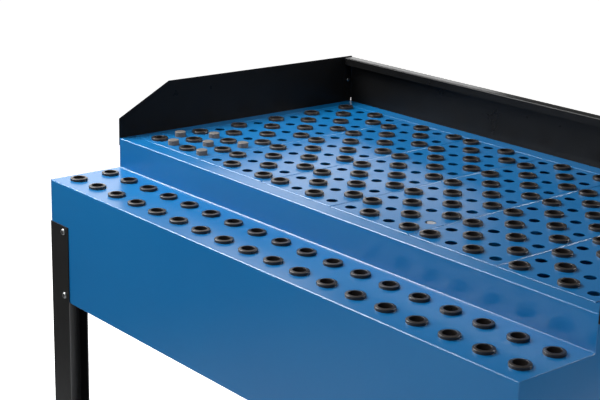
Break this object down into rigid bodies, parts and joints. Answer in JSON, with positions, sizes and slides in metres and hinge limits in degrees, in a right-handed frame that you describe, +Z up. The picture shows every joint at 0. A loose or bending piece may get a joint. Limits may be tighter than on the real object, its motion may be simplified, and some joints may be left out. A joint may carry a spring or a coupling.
{
  "type": "downdraft table",
  "caption": "Downdraft table with a stepped sheet-steel body, lift-out perforated deck panels holding rubber rings, a ledge, upright guards, folded legs and rear dust outlets.",
  "frame": {"origin": "on the floor, below the middle of the whole table's box", "axes": "+X to the right along the width, +Y to the back, +Z up; the front faces -Y"},
  "size_m": [1.52, 1.052, 1.0045],
  "materials": {
    "blue_powder_coat": "satin gloss",
    "black_powder_coat": "satin",
    "rubber": "matte",
    "pin_plastic": "matte",
    "foot_plastic": "matte",
    "zinc_steel": "zinc plated",
    "galvanised_steel": "galvanised"
  },
  "bodies": {
    "table": {"front_shell": "blue_powder_coat", "rear_shell": "blue_powder_coat", "left_side_panel": "blue_powder_coat", "right_side_panel": "blue_powder_coat", "bottom_pan": "blue_powder_coat", "deck_bearer_1": "blue_powder_coat", "deck_bearer_2": "blue_powder_coat", "deck_bearer_3": "blue_powder_coat", "deck_bearer_4": "blue_powder_coat", "deck_bearer_5": "blue_powder_coat", "deck_bearer_6": "blue_powder_coat", "deck_bearer_7": "blue_powder_coat", "left_guard": "black_powder_coat", "right_guard": "black_powder_coat", "rear_guard": "black_powder_coat", "front_left_leg": "black_powder_coat", "front_right_leg": "black_powder_coat", "rear_left_leg": "black_powder_coat", "rear_right_leg": "black_powder_coat", "foot_plates": "black_powder_coat", "guard_screws": "zinc_steel", "guard_nuts": "zinc_steel", "leg_screws": "zinc_steel", "leg_nuts": "zinc_steel", "pan_screws": "zinc_steel", "outlet_screws": "zinc_steel", "outlet_nuts": "zinc_steel", "foot_nuts": "zinc_steel", "left_outlet_spigot": "galvanised_steel", "right_outlet_spigot": "galvanised_steel", "outlet_gaskets": "rubber", "ledge_rings": "rubber"},
    "panel_1": {"deck_panel_1": "blue_powder_coat", "panel_rings_1": "rubber"},
    "panel_2": {"deck_panel_2": "blue_powder_coat", "panel_rings_2": "rubber"},
    "panel_3": {"deck_panel_3": "blue_powder_coat", "panel_rings_3": "rubber"},
    "panel_4": {"deck_panel_4": "blue_powder_coat", "panel_rings_4": "rubber"},
    "panel_5": {"deck_panel_5": "blue_powder_coat", "panel_rings_5": "rubber"},
    "panel_6": {"deck_panel_6": "blue_powder_coat", "panel_rings_6": "rubber"},
    "pin_1": {"stop_pin_1": "pin_plastic"},
    "pin_2": {"stop_pin_2": "pin_plastic"},
    "pin_3": {"stop_pin_3": "pin_plastic"},
    "pin_4": {"stop_pin_4": "pin_plastic"},
    "pin_5": {"stop_pin_5": "pin_plastic"},
    "pin_6": {"stop_pin_6": "pin_plastic"},
    "front_left_foot": {"front_left_foot_pad": "foot_plastic"},
    "front_left_stem": {"front_left_foot_stem": "zinc_steel"},
    "front_right_foot": {"front_right_foot_pad": "foot_plastic"},
    "front_right_stem": {"front_right_foot_stem": "zinc_steel"},
    "rear_left_foot": {"rear_left_foot_pad": "foot_plastic"},
    "rear_left_stem": {"rear_left_foot_stem": "zinc_steel"},
    "rear_right_foot": {"rear_right_foot_pad": "foot_plastic"},
    "rear_right_stem": {"rear_right_foot_stem": "zinc_steel"}
  },
  "joints": [
    {"name": "panel_1_lift", "type": "slide", "parent": "table", "child": "panel_1", "axis": [0, 0, 1], "range_m": [0, 0.2]},
    {"name": "panel_2_lift", "type": "slide", "parent": "table", "child": "panel_2", "axis": [0, 0, 1], "range_m": [0, 0.2]},
    {"name": "panel_3_lift", "type": "slide", "parent": "table", "child": "panel_3", "axis": [0, 0, 1], "range_m": [0, 0.2]},
    {"name": "panel_4_lift", "type": "slide", "parent": "table", "child": "panel_4", "axis": [0, 0, 1], "range_m": [0, 0.2]},
    {"name": "panel_5_lift", "type": "slide", "parent": "table", "child": "panel_5", "axis": [0, 0, 1], "range_m": [0, 0.2]},
    {"name": "panel_6_lift", "type": "slide", "parent": "table", "child": "panel_6", "axis": [0, 0, 1], "range_m": [0, 0.2]},
    {"name": "pin_1_lift", "type": "slide", "parent": "panel_1", "child": "pin_1", "axis": [0, 0, 1], "range_m": [0, 0.04]},
    {"name": "pin_2_lift", "type": "slide", "parent": "panel_1", "child": "pin_2", "axis": [0, 0, 1], "range_m": [0, 0.04]},
    {"name": "pin_3_lift", "type": "slide", "parent": "panel_1", "child": "pin_3", "axis": [0, 0, 1], "range_m": [0, 0.04]},
    {"name": "pin_4_lift", "type": "slide", "parent": "panel_1", "child": "pin_4", "axis": [0, 0, 1], "range_m": [0, 0.04]},
    {"name": "pin_5_lift", "type": "slide", "parent": "panel_1", "child": "pin_5", "axis": [0, 0, 1], "range_m": [0, 0.04]},
    {"name": "pin_6_lift", "type": "slide", "parent": "panel_1", "child": "pin_6", "axis": [0, 0, 1], "range_m": [0, 0.04]},
    {"name": "front_left_foot_travel", "type": "slide", "parent": "table", "child": "front_left_foot", "axis": [0, 0, -1], "range_m": [0, 0.021]},
    {"name": "front_left_stem_turn", "type": "hinge", "parent": "front_left_foot", "child": "front_left_stem", "pos_m": [-0.712, -0.48255, 0], "axis": [0, 0, 1], "range_deg": [-4320, 0]},
    {"name": "front_right_foot_travel", "type": "slide", "parent": "table", "child": "front_right_foot", "axis": [0, 0, -1], "range_m": [0, 0.021]},
    {"name": "front_right_stem_turn", "type": "hinge", "parent": "front_right_foot", "child": "front_right_stem", "pos_m": [0.712, -0.48255, 0], "axis": [0, 0, 1], "range_deg": [-4320, 0]},
    {"name": "rear_left_foot_travel", "type": "slide", "parent": "table", "child": "rear_left_foot", "axis": [0, 0, -1], "range_m": [0, 0.021]},
    {"name": "rear_left_stem_turn", "type": "hinge", "parent": "rear_left_foot", "child": "rear_left_stem", "pos_m": [-0.712, 0.42745, 0], "axis": [0, 0, 1], "range_deg": [-4320, 0]},
    {"name": "rear_right_foot_travel", "type": "slide", "parent": "table", "child": "rear_right_foot", "axis": [0, 0, -1], "range_m": [0, 0.021]},
    {"name": "rear_right_stem_turn", "type": "hinge", "parent": "rear_right_foot", "child": "rear_right_stem", "pos_m": [0.712, 0.42745, 0], "axis": [0, 0, 1], "range_deg": [-4320, 0]}
  ],
  "couplings": [
    {"joint": "front_left_stem_turn", "follows": "front_left_foot_travel", "rad_per_m": -3590.4},
    {"joint": "front_right_stem_turn", "follows": "front_right_foot_travel", "rad_per_m": -3590.4},
    {"joint": "rear_left_stem_turn", "follows": "rear_left_foot_travel", "rad_per_m": -3590.4},
    {"joint": "rear_right_stem_turn", "follows": "rear_right_foot_travel", "rad_per_m": -3590.4}
  ]
}
